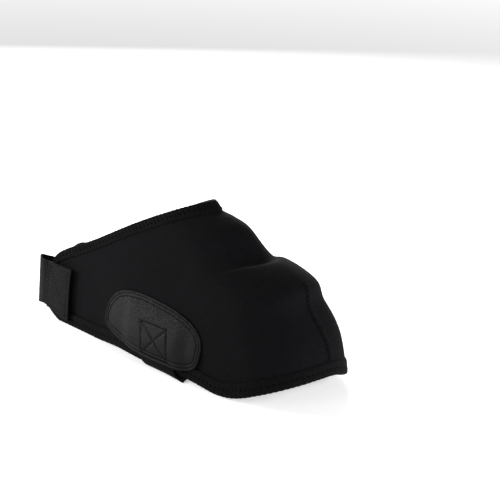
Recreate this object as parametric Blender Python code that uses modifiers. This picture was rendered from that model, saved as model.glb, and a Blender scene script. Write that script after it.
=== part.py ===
"""Ski boot cover, right foot: a neoprene sleeve pulled over the toe and instep of a ski boot.

Metres, +Z up, +X to the toe, +Y to the inner side. The origin is on the floor under the middle of the cover.
Every piece is an open sheet read from one function of the cover's form, thickened with Solidify.
Inside the functions x runs from the back of the heel strap to the tip of the toe; one empty centres it.
"""
import bpy
import numpy as np

# Driving dimensions of the cover
LENGTH = 0.318              # back of the heel strap to the tip of the toe
HEIGHT = 0.137              # floor to the tip of the throat
FOREFOOT_WIDTH = 0.116      # outside, at the ball
WALL = 0.003                # neoprene
GAP = 0.0003                # between pieces that touch

# Binding tape, folded over the edges
TAPE = 0.0009
TAPE_ROUND = 0.0006         # how far the fold bulges past the edge
COLLAR_TAPE_REAR = 0.007    # width at the rear ends
COLLAR_TAPE_THROAT = 0.0095
HEM_TAPE = 0.0105
ABOVE_TAPE = 0.004          # over which a piece sewn on the tape comes down above it

# Where the hem droops, on the inner side of the toe
DROOP = 0.008
DROOP_IN = 0.0025           # how far it is drawn in there
FULL = 0.004                # how far the toe stands out on both sides of its seam

# Raised seam of the toe dart
SEAM_WIDTH = 0.0065
SEAM_THICKNESS = 0.0008

# Grained patches on the sides
PATCH_THICKNESS = 0.0012
PATCH_LENGTH = 0.117
PATCH_HEIGHT = 0.048
PATCH_FRONT = 0.222         # x of the front end
PATCH_LIFT = 0.0075         # floor to the lowest point

# Webbing under the foot
UNDER_WIDTH = 0.040
UNDER_THICKNESS = 0.0015
UNDER_MIDDLE = 0.168        # x of the middle of its sewn ends
UNDER_TOP = 0.033           # how high its ends reach behind the patches
UNDER_SKEW = 0.018          # how far it runs forward at the outer edge of the foot, and back at the inner
UNDER_BEND = 0.0037         # radius of its outside where it turns under the foot
UNDER_CORNER = 0.005        # how far its front corner sticks out on the floor, on the outer side
UNDER_MARGIN = 0.005        # round its ends, before a patch over them comes down
UNDER_FALL = 0.008          # over which the patch comes down

# Webbing around the heel
STRAP_WIDTH = 0.050
STRAP_THICKNESS = 0.0015
STRAP_LIFT = 0.001          # floor to the webbing's own datum
LOOP_DEPTH = 0.028          # back of the strap to the rear edge of the neoprene
STRAP_SEWN = 0.0265         # length sewn on the outer side
STRAP_START = 0.003         # from the rear edge of the neoprene to where the strap lies on it
STRAP_CLOSED = 0.038        # length that overlaps the inner side
TAB_LENGTH = 0.0295
TAB_OVERHANG = 0.0015       # past the rear edge of the neoprene
TAB_THICKNESS = 0.0016
PAD_THICKNESS = 0.0012
PAD_SHOWS = 0.0075          # length of the pad past the end of the strap
PAD_CLEARANCE = 0.002       # over the hem's tape

OUTER_SIDE = -1
INNER_SIDE = 1

# The four edges of one half of the sheet: along is a share of the length, out of half the forefoot's width,
# up of the height. Rows run from the rear to the centre plane, and on the ridge from the throat to the toe.
HEM = [  # along, out, up
    (0.085, 0.54, 0.050),
    (0.130, 0.57, 0.000),
    (0.300, 0.68, 0.000),
    (0.500, 0.88, 0.000),
    (0.700, 0.94, -0.006),
    (0.820, 0.98, 0.016),
    (0.900, 0.93, 0.085),
    (0.962, 0.66, 0.142),
    (0.991, 0.34, 0.167),
    (1.000, 0.00, 0.172),
]
COLLAR = [  # along, out, up
    (0.090, 0.49, 0.388),
    (0.115, 0.49, 0.442),
    (0.240, 0.45, 0.592),
    (0.380, 0.41, 0.775),
    (0.490, 0.34, 0.905),
    (0.560, 0.19, 0.978),
    (0.590, 0.00, 1.000),
]
RIDGE = [  # along, up
    (0.590, 1.000),
    (0.613, 0.955),
    (0.650, 0.935),
    (0.700, 0.895),
    (0.780, 0.735),
    (0.810, 0.750),
    (0.905, 0.650),
    (0.918, 0.535),
    (0.974, 0.363),
    (0.993, 0.260),
    (1.000, 0.172),
]
REAR = [  # along, out, up
    (0.090, 0.49, 0.388),
    (0.087, 0.54, 0.230),
    (0.085, 0.54, 0.050),
]
SEAM_TOP = 0.60             # share of the ridge above the dart
DROOP_AT = 0.12             # share of the hem's half, from the centre plane to the middle of the droop
DROOP_FROM = 0.72           # share of the way down from the collar where it begins
FULL_AT = (0.11, 0.76)      # shares round the cover, from the centre plane, and down where it stands out most
BENDS_END = 0.56            # share of the ridge above which its sharp bends die out on both sides of it
BENDS_FALL = 20             # the higher, the sooner they do

# Outlines of the patches, from the rear to the front, as shares of their length and height
OUTER_PATCH = [  # along, low, high
    (0.00, 0.30, 0.44),
    (0.02, 0.22, 0.60),
    (0.06, 0.16, 0.75),
    (0.12, 0.11, 0.87),
    (0.22, 0.06, 0.96),
    (0.37, 0.02, 1.00),
    (0.56, 0.00, 0.98),
    (0.70, 0.00, 0.94),
    (0.82, 0.00, 0.87),
    (0.91, 0.04, 0.77),
    (0.96, 0.10, 0.67),
    (0.99, 0.19, 0.55),
    (1.00, 0.30, 0.43),
]
INNER_PATCH = [  # along, low, high
    (0.00, 0.02, 0.05),
    (0.02, 0.01, 0.28),
    (0.07, 0.00, 0.52),
    (0.16, 0.00, 0.77),
    (0.30, 0.01, 0.95),
    (0.48, 0.02, 1.00),
    (0.66, 0.02, 0.95),
    (0.81, 0.01, 0.78),
    (0.91, 0.00, 0.55),
    (0.97, 0.00, 0.29),
    (1.00, 0.01, 0.05),
]

# Free loop of the heel strap, from the side to the middle of the back: along is a share of the loop's depth,
# out of the half width where it leaves the neoprene, up of the strap's width.
LOOP_LOW_EDGE = [  # along, out, up
    (0.62, 0.98, 0.19),
    (0.20, 0.77, 0.12),
    (0.02, 0.36, 0.06),
    (0.00, 0.00, 0.03),
]
LOOP_HIGH_EDGE = [  # along, out, up
    (0.60, 0.95, 1.00),
    (0.26, 0.75, 1.02),
    (0.15, 0.37, 0.92),
    (0.14, 0.00, 0.84),
]

# Counts that set how fine the sheets are
STATIONS = 52               # around the cover
ROWS = 18                   # from collar to hem
PATCH_COLUMNS = 20
PATCH_ROWS = 6
STRAP_ROWS = 4
STRAP_STATIONS = 40

BLACK_NEOPRENE = (0.010, 0.010, 0.011, 1.0)
BLACK_TAPE = (0.018, 0.018, 0.020, 1.0)
GREY_GRAIN = (0.045, 0.045, 0.050, 1.0)
GREY_WEBBING = (0.045, 0.045, 0.050, 1.0)
DARK_PAD = (0.012, 0.012, 0.013, 1.0)


# Smooth curves

def knots_of(points):
    """Return rising knots from 0 to 1, spaced by the square root of the chords."""
    chords = np.linalg.norm(np.diff(points, axis=0), axis=-1)
    while chords.ndim > 1:
        chords = chords.mean(axis=-1)
    knots = np.concatenate([[0.0], np.cumsum(np.sqrt(chords))])
    return knots / knots[-1]


def smooth(points):
    """Return a function of 0 to 1 that runs smoothly through the points, or through rows of points."""
    points = np.asarray(points, float)
    knots = knots_of(points)
    slopes = np.gradient(points, knots, axis=0)

    def at(share):
        share = np.clip(np.asarray(share, float), 0.0, 1.0)
        index = np.clip(np.searchsorted(knots, share, side="right") - 1, 0, len(knots) - 2)
        width = knots[index + 1] - knots[index]
        q = (share - knots[index]) / width
        extra = (1,) * (points.ndim - 1)
        q = q.reshape(q.shape + extra)
        width = width.reshape(width.shape + extra)
        start = (2 * q**3 - 3 * q**2 + 1) * points[index] + (q**3 - 2 * q**2 + q) * width * slopes[index]
        end = (3 * q**2 - 2 * q**3) * points[index + 1] + (q**3 - q**2) * width * slopes[index + 1]
        return start + end

    return at


def even_speed(curve, samples=400):
    """Return the curve read by its share of arc length."""
    share = np.linspace(0.0, 1.0, samples)
    steps = np.linalg.norm(np.diff(curve(share), axis=0), axis=1)
    length = np.concatenate([[0.0], np.cumsum(steps)])
    length /= length[-1]
    return lambda part: curve(np.interp(part, length, share))


def sharp_bends(curve, spread=0.09, samples=401):
    """Return what the curve has over its own running mean, from its start to BENDS_END."""
    share = np.linspace(0.0, 1.0, samples)
    near = [curve(np.clip(share + offset, 0.0, 1.0)) for offset in np.linspace(-spread, spread, 7)]
    ends = soft_step(share / 0.15) * soft_step((BENDS_END - share) / 0.15)
    extra = (curve(share) - np.mean(near, axis=0)) * ends[:, None]
    return lambda part: np.stack([np.interp(part, share, column) for column in extra.T], axis=-1)


def soft_step(value):
    """Return 0 below 0, 1 above 1 and a smooth rise between."""
    q = np.clip(value, 0.0, 1.0)
    return q * q * (3.0 - 2.0 * q)


# The cover's form

TAPE_STAND = GAP + TAPE
PRESSED = 0.0001            # how far the tape's corners are pressed into the floor's plane
REACH = LENGTH - TAPE_STAND - TAPE_ROUND
HALF_WIDTH = FOREFOOT_WIDTH / 2 - TAPE_STAND
FLOOR_CLEARANCE = TAPE_STAND - PRESSED
RISE = HEIGHT - TAPE_STAND - TAPE_ROUND - FLOOR_CLEARANCE


def sized(rows):
    """Return a table's rows as lengths, with the out column 0 where there is none."""
    full = [row if len(row) == 3 else (row[0], 0.0, row[1]) for row in rows]
    lengths = np.array(full) * (REACH, HALF_WIDTH, RISE)
    return lengths + (0.0, 0.0, FLOOR_CLEARANCE)


def to_centre(rows):
    """Return the smooth curve of a half, from the rear to a square crossing of the centre plane."""
    points = sized(rows)
    mirrored = points[-2] * (1.0, -1.0, 1.0)
    curve = smooth(np.vstack([points, mirrored]))
    share = np.linspace(0.0, 1.0, 2001)
    crossing = share[np.argmax(curve(share)[:, 1] <= 1e-9)]
    return even_speed(lambda part: curve(part * crossing))


def arch(x):
    """Return how far the hem lifts to let the webbing pass under it."""
    lift = UNDER_THICKNESS + TAPE_ROUND + 2 * GAP
    reach = UNDER_WIDTH / 2 + UNDER_SKEW
    return lift * (1.0 - soft_step((np.abs(x - UNDER_MIDDLE) - reach) / UNDER_WIDTH))


def rested(points):
    """Keep the hem off the floor by the tape's thickness, and arch it over the webbing."""
    points = points.copy()
    lifted = points[..., 2] + arch(points[..., 0])
    points[..., 2] = np.maximum(lifted, FLOOR_CLEARANCE + arch(points[..., 0]))
    return points


hem_curve = to_centre(HEM)
collar_curve = to_centre(COLLAR)
ridge_curve = even_speed(smooth(sized(RIDGE)))
rear_curve = even_speed(smooth(sized(REAR)))
ridge_bends = sharp_bends(ridge_curve)


def droop(a, v):
    """Return how far the sheet sinks where the hem droops."""
    near = np.exp(-(((a - DROOP_AT) / 0.09) ** 2)) * soft_step((a + DROOP_AT / 2) / DROOP_AT)
    share = near * soft_step((v - DROOP_FROM) / (1.0 - DROOP_FROM))
    return share[..., None] * (0.0, DROOP_IN, DROOP)


def fullness(a, v):
    """Return how far the sheet stands out beside the toe's seam."""
    u = np.abs(a)
    share = soft_step(u / 0.08) * np.exp(-(((u - FULL_AT[0]) / 0.10) ** 2) - ((v - FULL_AT[1]) / 0.15) ** 2)
    side = np.where(a < 0, OUTER_SIDE, INNER_SIDE)
    return FULL * np.stack([0.75 * share, 0.66 * share * side, 0.0 * share], axis=-1)


def surface(a, v):
    """Return the outside of the neoprene: a runs from -1 at the outer rear edge round the toe to 1 at the
    inner one, v from 0 at the collar to 1 at the hem. It is a Coons patch between the four edges, where the
    ridge's sharp bends die out soon on both sides of it."""
    a, v = np.broadcast_arrays(np.asarray(a, float), np.asarray(v, float))
    u = 1.0 - np.abs(a)
    down = v[..., None]
    front = np.sin(np.pi / 2 * u)[..., None]
    hem = rested(hem_curve(u))
    collar = collar_curve(u)
    rear_chord = (1 - down) * collar_curve(np.zeros_like(u)) + down * hem_curve(np.zeros_like(u))
    ridge_chord = (1 - down) * collar_curve(np.ones_like(u)) + down * hem_curve(np.ones_like(u))
    point = (1 - down) * collar + down * hem
    point = point + (1 - front) * (rear_curve(v) - rear_chord)
    point = point + front * (ridge_curve(v) - ridge_chord) - (front - front**BENDS_FALL) * ridge_bends(v)
    side = np.where(a < 0, OUTER_SIDE, INNER_SIDE)
    point[..., 1] *= side
    return point - droop(a, v) + fullness(a, v)


def slopes_of(a, v, step=1e-4):
    """Return the surface's two directions, forward round the toe and down."""
    a_low, a_high = np.clip(a - step, -1, 1), np.clip(a + step, -1, 1)
    v_low, v_high = np.clip(v - step, 0, 1), np.clip(v + step, 0, 1)
    around = (surface(a_high, v) - surface(a_low, v)) / (a_high - a_low)[..., None]
    down = (surface(a, v_high) - surface(a, v_low)) / (v_high - v_low)[..., None]
    return around, down


def unit(vectors):
    return vectors / np.linalg.norm(vectors, axis=-1, keepdims=True)


def outward(a, v):
    around, down = slopes_of(a, v)
    return unit(np.cross(down, around))


def raised(a, v, height):
    """Return points at a height over the neoprene's outside; below 0 is towards the foot."""
    a, v, height = np.broadcast_arrays(np.asarray(a, float), np.asarray(v, float), np.asarray(height, float))
    return surface(a, v) + outward(a, v) * height[..., None]


def lengths_down(a, samples=80):
    """Return v samples and the length of the sheet down to each, for every a."""
    v = np.linspace(0.0, 1.0, samples)
    points = surface(np.asarray(a)[:, None], v[None, :])
    steps = np.linalg.norm(np.diff(points, axis=1), axis=2)
    lengths = np.concatenate([np.zeros((len(a), 1)), np.cumsum(steps, axis=1)], axis=1)
    return v, lengths


def v_below_collar(a, distance):
    v, lengths = lengths_down(a)
    return np.array([np.interp(d, row, v) for d, row in zip(distance, lengths)])


def v_above_hem(a, distance):
    v, lengths = lengths_down(a)
    return np.array([np.interp(row[-1] - d, row, v) for d, row in zip(distance, lengths)])


def above_hem(a, v, samples=24):
    """Return the length of the sheet from each point down to the hem."""
    share = np.linspace(0.0, 1.0, samples)
    path = v[..., None] + (1.0 - v[..., None]) * share
    points = surface(a[..., None], path)
    return np.linalg.norm(np.diff(points, axis=-2), axis=-1).sum(axis=-1)


def place_on_side(x, z, side):
    """Return the a and v of the points of one side that have the given x and z."""
    x, z = np.broadcast_arrays(np.asarray(x, float), np.asarray(z, float))
    a = np.full(x.shape, side * 0.6)
    v = np.full(x.shape, 0.7)
    for _ in range(30):
        here = surface(a, v)
        around, down = slopes_of(a, v)
        miss_x, miss_z = x - here[..., 0], z - here[..., 2]
        scale = around[..., 0] * down[..., 2] - around[..., 2] * down[..., 0]
        a_move = (miss_x * down[..., 2] - miss_z * down[..., 0]) / scale
        v_move = (miss_z * around[..., 0] - miss_x * around[..., 2]) / scale
        a = side * np.clip(side * (a + np.clip(a_move, -0.1, 0.1)), 0.02, 1.0)
        v = np.clip(v + np.clip(v_move, -0.1, 0.1), 0.0, 1.0)
    return a, v


# What lies between the neoprene and a piece sewn over it

def over_hem_tape(a, v):
    """Return the height that clears the hem's tape, falling away above it."""
    return TAPE_STAND * (1.0 - soft_step((above_hem(a, v) - HEM_TAPE - ABOVE_TAPE) / ABOVE_TAPE))


def webbing_middle(z, side):
    """Return the x of the middle of the webbing under the foot at a height on one side."""
    return UNDER_MIDDLE - side * UNDER_SKEW * np.clip(1.0 - z / UNDER_TOP, 0.0, 1.0) ** 3


def over_webbing(x, z, side):
    """Return the height that clears the ends of the webbing under the foot, falling away round it."""
    past = np.abs(x - webbing_middle(z, side)) - UNDER_WIDTH / 2 - UNDER_MARGIN
    beside = 1.0 - soft_step(past / UNDER_FALL)
    above = 1.0 - soft_step((z - UNDER_TOP - UNDER_MARGIN) / UNDER_FALL)
    return (UNDER_THICKNESS + 2 * GAP) * beside * above


# Blender objects

def clear_scene():
    for item in list(bpy.data.objects):
        bpy.data.objects.remove(item, do_unlink=True)


def make_material(name, colour, roughness):
    material = bpy.data.materials.new(name)
    material.use_nodes = True
    shader = material.node_tree.nodes["Principled BSDF"]
    shader.inputs["Base Color"].default_value = colour
    shader.inputs["Roughness"].default_value = roughness
    material.diffuse_color = colour
    return material


def sheet_faces(count_i, count_j, flipped):
    """Return the quads of a grid whose outside is seen when i runs forward and j runs down."""
    faces = []
    for i in range(count_i - 1):
        for j in range(count_j - 1):
            quad = [i * count_j + j, i * count_j + j + 1, (i + 1) * count_j + j + 1, (i + 1) * count_j + j]
            faces.append(quad[::-1] if flipped else quad)
    return faces


def press_flat(piece):
    """Press what would reach below the floor flat on it."""
    graph = bpy.context.evaluated_depsgraph_get()
    mesh = bpy.data.meshes.new_from_object(piece.evaluated_get(graph))
    piece.modifiers.clear()
    piece.data = mesh
    for vertex in mesh.vertices:
        vertex.co.z = max(vertex.co.z, 0.0)


def add_sheet(name, points, thickness, grows, material, centre, flipped=False):
    """Add a grid of points as a sheet with a thickness; grows is 1 away from the foot and -1 towards it."""
    count_i, count_j = points.shape[:2]
    mesh = bpy.data.meshes.new(name)
    mesh.from_pydata(points.reshape(-1, 3).tolist(), [], sheet_faces(count_i, count_j, flipped))
    mesh.update()
    mesh.shade_smooth()
    mesh.materials.append(material)
    piece = bpy.data.objects.new(name, mesh)
    centre.users_collection[0].objects.link(piece)
    piece.parent = centre
    solidify = piece.modifiers.new("thickness", "SOLIDIFY")
    solidify.thickness = thickness
    solidify.offset = grows
    return piece


# The pieces

def station_values():
    return np.linspace(-1.0, 1.0, STATIONS + 1)


def collar_tape_widths(a):
    return COLLAR_TAPE_REAR + (COLLAR_TAPE_THROAT - COLLAR_TAPE_REAR) * (1.0 - np.abs(a))


def shell_rows(a):
    """Return the v of the sheet's rows for every a."""
    top = v_below_collar(a, collar_tape_widths(a))
    bottom = v_above_hem(a, np.full(len(a), HEM_TAPE))
    between = np.linspace(0.0, 1.0, ROWS - 1)
    inner_rows = top[:, None] + (bottom - top)[:, None] * between
    return np.column_stack([np.zeros(len(a)), inner_rows, np.ones(len(a))])


def add_shell(material, centre):
    """The neoprene, with a row of the sheet along the end of each tape."""
    a = station_values()
    add_sheet("upper_shell", surface(a[:, None], shell_rows(a)), WALL, -1, material, centre)


def tape_fold():
    """Return the fold round an edge of the neoprene: how far past the edge, and the height."""
    return [
        (0.0, GAP),
        (GAP, 0.0),
        (GAP + TAPE_ROUND, -WALL / 2),
        (GAP, -WALL),
        (0.0, -WALL - GAP),
    ]


def add_tape(name, edge_v, leg_v, material, centre):
    """A tape folded over the edge at edge_v, whose legs end at leg_v."""
    a = station_values()
    edge = np.full(len(a), edge_v)
    columns = [raised(a, leg_v, GAP)]
    past = slopes_of(a, edge)[1] * (1.0 if edge_v > 0.5 else -1.0)
    past = unit(past)
    for distance, height in tape_fold():
        columns.append(raised(a, edge, height) + past * distance)
    columns.append(raised(a, leg_v, -WALL - GAP))
    points = np.stack(columns, axis=1)
    return add_sheet(name, points, TAPE, 1, material, centre, flipped=edge_v < 0.5)


def add_collar_binding(material, centre):
    a = station_values()
    add_tape("collar_binding", 0.0, v_below_collar(a, collar_tape_widths(a)), material, centre)


def add_hem_binding(material, centre):
    a = station_values()
    tape = add_tape("hem_binding", 1.0, v_above_hem(a, np.full(len(a), HEM_TAPE)), material, centre)
    press_flat(tape)


def add_toe_seam(material, centre):
    """A raised strip on the centre plane, from the toe box down to the hem's tape."""
    rows = shell_rows(np.zeros(1))[0, :-1]
    v = rows[rows > SEAM_TOP]
    v[-1] -= 2 * GAP / lengths_down(np.zeros(1))[1][0, -1]
    around = np.linalg.norm(slopes_of(np.zeros_like(v), v)[0], axis=-1)
    half = SEAM_WIDTH / 2 / around
    columns = [raised(-half, v, GAP), raised(np.zeros_like(v), v, 1.5 * GAP), raised(half, v, GAP)]
    add_sheet("toe_seam", np.stack(columns), SEAM_THICKNESS, 1, material, centre)


def add_patch(name, rows, side, material, centre):
    """A grained patch, over the hem's tape and the webbing's end."""
    along, low, high = smooth(rows)(np.linspace(0.0, 1.0, PATCH_COLUMNS + 1)).T
    share = np.linspace(0.0, 1.0, PATCH_ROWS + 1)
    x = (PATCH_FRONT - PATCH_LENGTH * (1.0 - along))[:, None] + 0.0 * share
    z = PATCH_LIFT + PATCH_HEIGHT * (high[:, None] + (low - high)[:, None] * share)
    a, v = place_on_side(x, z, side)
    height = GAP + over_hem_tape(a, v) + over_webbing(x, z, side)
    add_sheet(name, raised(a, v, height), PATCH_THICKNESS, 1, material, centre, flipped=side > 0)


def add_underfoot_strap(material, centre):
    """Webbing from behind one patch, over the hem's tape and under the foot to the other patch."""
    share = np.linspace(0.0, 1.0, 7)
    across = UNDER_WIDTH * (share - 0.5)
    heights = np.linspace(UNDER_TOP, UNDER_BEND, 10)
    halves = {}
    for side in (OUTER_SIDE, INNER_SIDE):
        x = across[:, None] + webbing_middle(heights, side)
        a, v = place_on_side(x, heights + 0.0 * x, side)
        wall = raised(a, v, GAP + over_hem_tape(a, v) + UNDER_THICKNESS)
        wall[..., 0] = x
        wall[:, -1, 2] = UNDER_BEND
        foot = []
        for turn in np.radians([30, 60, 90]):
            lower = wall[:, -1] + (0.0, side * UNDER_BEND * (np.cos(turn) - 1), -UNDER_BEND * np.sin(turn))
            lower[:, 0] = across + webbing_middle(lower[:, 2], side)
            foot.append(lower)
        halves[side] = np.concatenate([wall, np.stack(foot, axis=1)], axis=1)
    outer, inner = halves[OUTER_SIDE], halves[INNER_SIDE]
    below_patch = np.clip(1.0 - outer[..., 2] / PATCH_LIFT, 0.0, 1.0)
    sticks_out = UNDER_CORNER * share[:, None] ** 3 * below_patch**2
    outer = outer + sticks_out[..., None] * (1.0, -1.0, 0.0)
    middle = (outer[:, -1:] + inner[:, -1:]) / 2
    points = np.concatenate([outer, middle, inner[:, ::-1]], axis=1)
    add_sheet("underfoot_strap", points, UNDER_THICKNESS, -1, material, centre)


def strap_rows_on_side(x, seat, side):
    """Return the rows of the heel strap where it lies on the neoprene, one for each x."""
    share = np.linspace(0.0, 1.0, STRAP_ROWS + 1)
    forward = np.clip((x - LOOP_DEPTH) / STRAP_SEWN, 0.0, 1.0)
    low = STRAP_LIFT + STRAP_WIDTH * (0.19 - 0.12 * forward)
    high = STRAP_LIFT + STRAP_WIDTH
    z = high + (low - high)[:, None] * share
    a, v = place_on_side(x[:, None] + 0.0 * z, z, side)
    return raised(a, v, seat)


def loop_rows(side, out):
    """Return the rows of the free loop on one side, from the side to just before the middle."""
    share = np.linspace(0.0, 1.0, STRAP_ROWS + 1)[None, :, None]
    size = (LOOP_DEPTH, out, STRAP_WIDTH)
    low = np.array(LOOP_LOW_EDGE) * size
    high = np.array(LOOP_HIGH_EDGE) * size
    rows = high[:, None] + (low - high)[:, None] * share
    rows = rows + (STRAP_THICKNESS, 0.0, STRAP_LIFT)
    return rows * (1.0, side, 1.0)


def strap_curve():
    """Return the smooth path of the heel strap's inner face, and the shares where it starts and ends."""
    first = LOOP_DEPTH + STRAP_START
    outer_seat = TAPE_STAND + GAP
    inner_seat = max(TAPE_STAND, GAP + PAD_THICKNESS) + GAP
    outer_x = np.linspace(LOOP_DEPTH + TAB_LENGTH, first, 5)
    inner_x = np.linspace(first, LOOP_DEPTH + STRAP_CLOSED, 6)
    outer_rows = strap_rows_on_side(outer_x, outer_seat, OUTER_SIDE)
    inner_rows = strap_rows_on_side(inner_x, inner_seat, INNER_SIDE)
    outer_loop = loop_rows(OUTER_SIDE, abs(outer_rows[-1, :, 1]).mean())
    inner_loop = loop_rows(INNER_SIDE, abs(inner_rows[0, :, 1]).mean())
    rows = np.concatenate([outer_rows, outer_loop, inner_loop[-2::-1], inner_rows])
    return smooth(rows)


def share_at_x(curve, x):
    """Return where the outer part of the strap's path crosses x."""
    share = np.linspace(0.0, 0.4, 200)
    path = curve(share)[:, STRAP_ROWS // 2, 0]
    return np.interp(-x, -path, share)


def add_heel_strap(material, centre):
    curve = strap_curve()
    start = share_at_x(curve, LOOP_DEPTH + STRAP_SEWN)
    points = curve(np.linspace(start, 1.0, STRAP_STATIONS + 1))
    add_sheet("heel_strap", points, STRAP_THICKNESS, 1, material, centre, flipped=True)


def add_strap_tab(material, centre):
    """The second layer of webbing over the sewn end of the heel strap."""
    curve = strap_curve()
    end = share_at_x(curve, LOOP_DEPTH - TAB_OVERHANG)
    share = np.linspace(0.0, end, 9)
    points = curve(share)
    step = 1e-4
    along = curve(share + step) - curve(np.maximum(share - step, 0.0))
    down = np.gradient(points, axis=1)
    away = unit(np.cross(along, down))
    points = points + away * (STRAP_THICKNESS + GAP)
    add_sheet("strap_tab", points, TAB_THICKNESS, 1, material, centre, flipped=True)


def add_loop_pad(material, centre):
    """The pad on the inner side that the heel strap closes on."""
    front = LOOP_DEPTH + STRAP_CLOSED + PAD_SHOWS
    x = np.linspace(LOOP_DEPTH + STRAP_START, front, 8)
    hem = surface(np.linspace(1.0, 0.5, 200), 1.0)
    low = np.interp(x, hem[:, 0], hem[:, 2]) + HEM_TAPE + PAD_CLEARANCE
    high = STRAP_LIFT + STRAP_WIDTH * 0.92
    z = high + (low - high)[:, None] * np.linspace(0.0, 1.0, 5)
    a, v = place_on_side(x[:, None] + 0.0 * z, z, INNER_SIDE)
    add_sheet("loop_pad", raised(a, v, GAP), PAD_THICKNESS, 1, material, centre, flipped=True)


def main():
    clear_scene()
    collection = bpy.data.collections.new("ski_boot_cover")
    bpy.context.scene.collection.children.link(collection)
    centre = bpy.data.objects.new("centre", None)
    centre.location = (-LENGTH / 2, 0.0, 0.0)
    collection.objects.link(centre)
    neoprene = make_material("neoprene", BLACK_NEOPRENE, 0.85)
    tape = make_material("tape", BLACK_TAPE, 0.8)
    grain = make_material("grained_patch", GREY_GRAIN, 0.5)
    webbing = make_material("webbing", GREY_WEBBING, 0.75)
    pad = make_material("loop_fabric", DARK_PAD, 0.9)
    add_shell(neoprene, centre)
    add_collar_binding(tape, centre)
    add_hem_binding(tape, centre)
    add_toe_seam(neoprene, centre)
    add_patch("patch_lateral", OUTER_PATCH, OUTER_SIDE, grain, centre)
    add_patch("patch_medial", INNER_PATCH, INNER_SIDE, grain, centre)
    add_underfoot_strap(webbing, centre)
    add_heel_strap(webbing, centre)
    add_strap_tab(webbing, centre)
    add_loop_pad(pad, centre)


main()
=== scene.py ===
"""Looks of the ski boot cover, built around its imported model.

Metres, in the model's own frame: +X to the toe, +Y to the inner side, +Z up. Inside the functions x runs from
the back of the heel strap to the tip of the toe, as in the model's source, and add_mesh moves it to the frame.
Every piece of cloth is a fine grid over one function of the cover's form, with its creases, seams and stitches.
"""
import math

import bpy
import numpy as np
from mathutils import Matrix, Vector


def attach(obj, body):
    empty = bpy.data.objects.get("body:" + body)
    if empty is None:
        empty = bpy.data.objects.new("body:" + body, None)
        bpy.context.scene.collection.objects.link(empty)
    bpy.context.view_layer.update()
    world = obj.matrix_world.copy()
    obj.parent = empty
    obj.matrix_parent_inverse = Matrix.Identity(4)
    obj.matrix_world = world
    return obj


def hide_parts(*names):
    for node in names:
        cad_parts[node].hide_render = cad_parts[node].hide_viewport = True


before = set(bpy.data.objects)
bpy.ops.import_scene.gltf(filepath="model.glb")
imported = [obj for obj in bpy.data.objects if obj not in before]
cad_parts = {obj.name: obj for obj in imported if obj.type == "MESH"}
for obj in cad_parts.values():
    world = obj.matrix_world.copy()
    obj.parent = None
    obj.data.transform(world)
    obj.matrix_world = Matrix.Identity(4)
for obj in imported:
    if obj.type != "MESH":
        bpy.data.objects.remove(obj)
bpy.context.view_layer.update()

# Driving dimensions, the same as the model's
LENGTH = 0.318              # back of the heel strap to the tip of the toe
HEIGHT = 0.137              # floor to the tip of the throat
FOREFOOT_WIDTH = 0.116      # outside, at the ball
WALL = 0.003                # neoprene
GAP = 0.0003                # between pieces that touch
TAPE = 0.0009               # binding tape
TAPE_ROUND = 0.0006         # how far the fold bulges past the edge
COLLAR_TAPE_REAR = 0.007    # width at the rear ends
COLLAR_TAPE_THROAT = 0.0095
HEM_TAPE = 0.0105
ABOVE_TAPE = 0.004          # over which a piece sewn on the tape comes down above it
DROOP = 0.008               # how far the hem droops on the inner side of the toe
DROOP_IN = 0.0025           # how far it is drawn in there
FULL = 0.004                # how far the toe stands out on both sides of its seam
SEAM_WIDTH = 0.0065         # raised seam of the toe dart
SEAM_THICKNESS = 0.0008
PATCH_THICKNESS = 0.0012
PATCH_LENGTH = 0.117
PATCH_HEIGHT = 0.048
PATCH_FRONT = 0.222         # x of the front end
PATCH_LIFT = 0.0075         # floor to the lowest point
PATCH_FALL = 0.018          # over which it comes down above the hem's tape
UNDER_WIDTH = 0.040         # webbing under the foot
UNDER_THICKNESS = 0.0015
UNDER_MIDDLE = 0.168        # x of the middle of its sewn ends
UNDER_TOP = 0.033           # how high its ends reach behind the patches
UNDER_SKEW = 0.018          # how far it runs forward at the outer edge of the foot, and back at the inner
UNDER_BEND = 0.0037         # radius of its outside where it turns under the foot
UNDER_CORNER = 0.005        # how far its front corner sticks out on the floor, on the outer side
UNDER_MARGIN = 0.005        # round its ends, before a patch over them comes down
UNDER_FALL = 0.016          # over which the patch comes down
STRAP_WIDTH = 0.050         # webbing around the heel
STRAP_THICKNESS = 0.0015
STRAP_LIFT = 0.001          # floor to the webbing's own datum
LOOP_DEPTH = 0.028          # back of the strap to the rear edge of the neoprene
STRAP_SEWN = 0.0265         # length sewn on the outer side
STRAP_START = 0.003         # from the rear edge of the neoprene to where the strap lies on it
STRAP_CLOSED = 0.038        # length that overlaps the inner side
TAB_LENGTH = 0.0295
TAB_OVERHANG = 0.0015       # past the rear edge of the neoprene
TAB_THICKNESS = 0.0016
PAD_THICKNESS = 0.0012
PAD_SHOWS = 0.0075          # length of the pad past the end of the strap
PAD_CLEARANCE = 0.002       # over the hem's tape

OUTER_SIDE = -1
INNER_SIDE = 1

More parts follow.
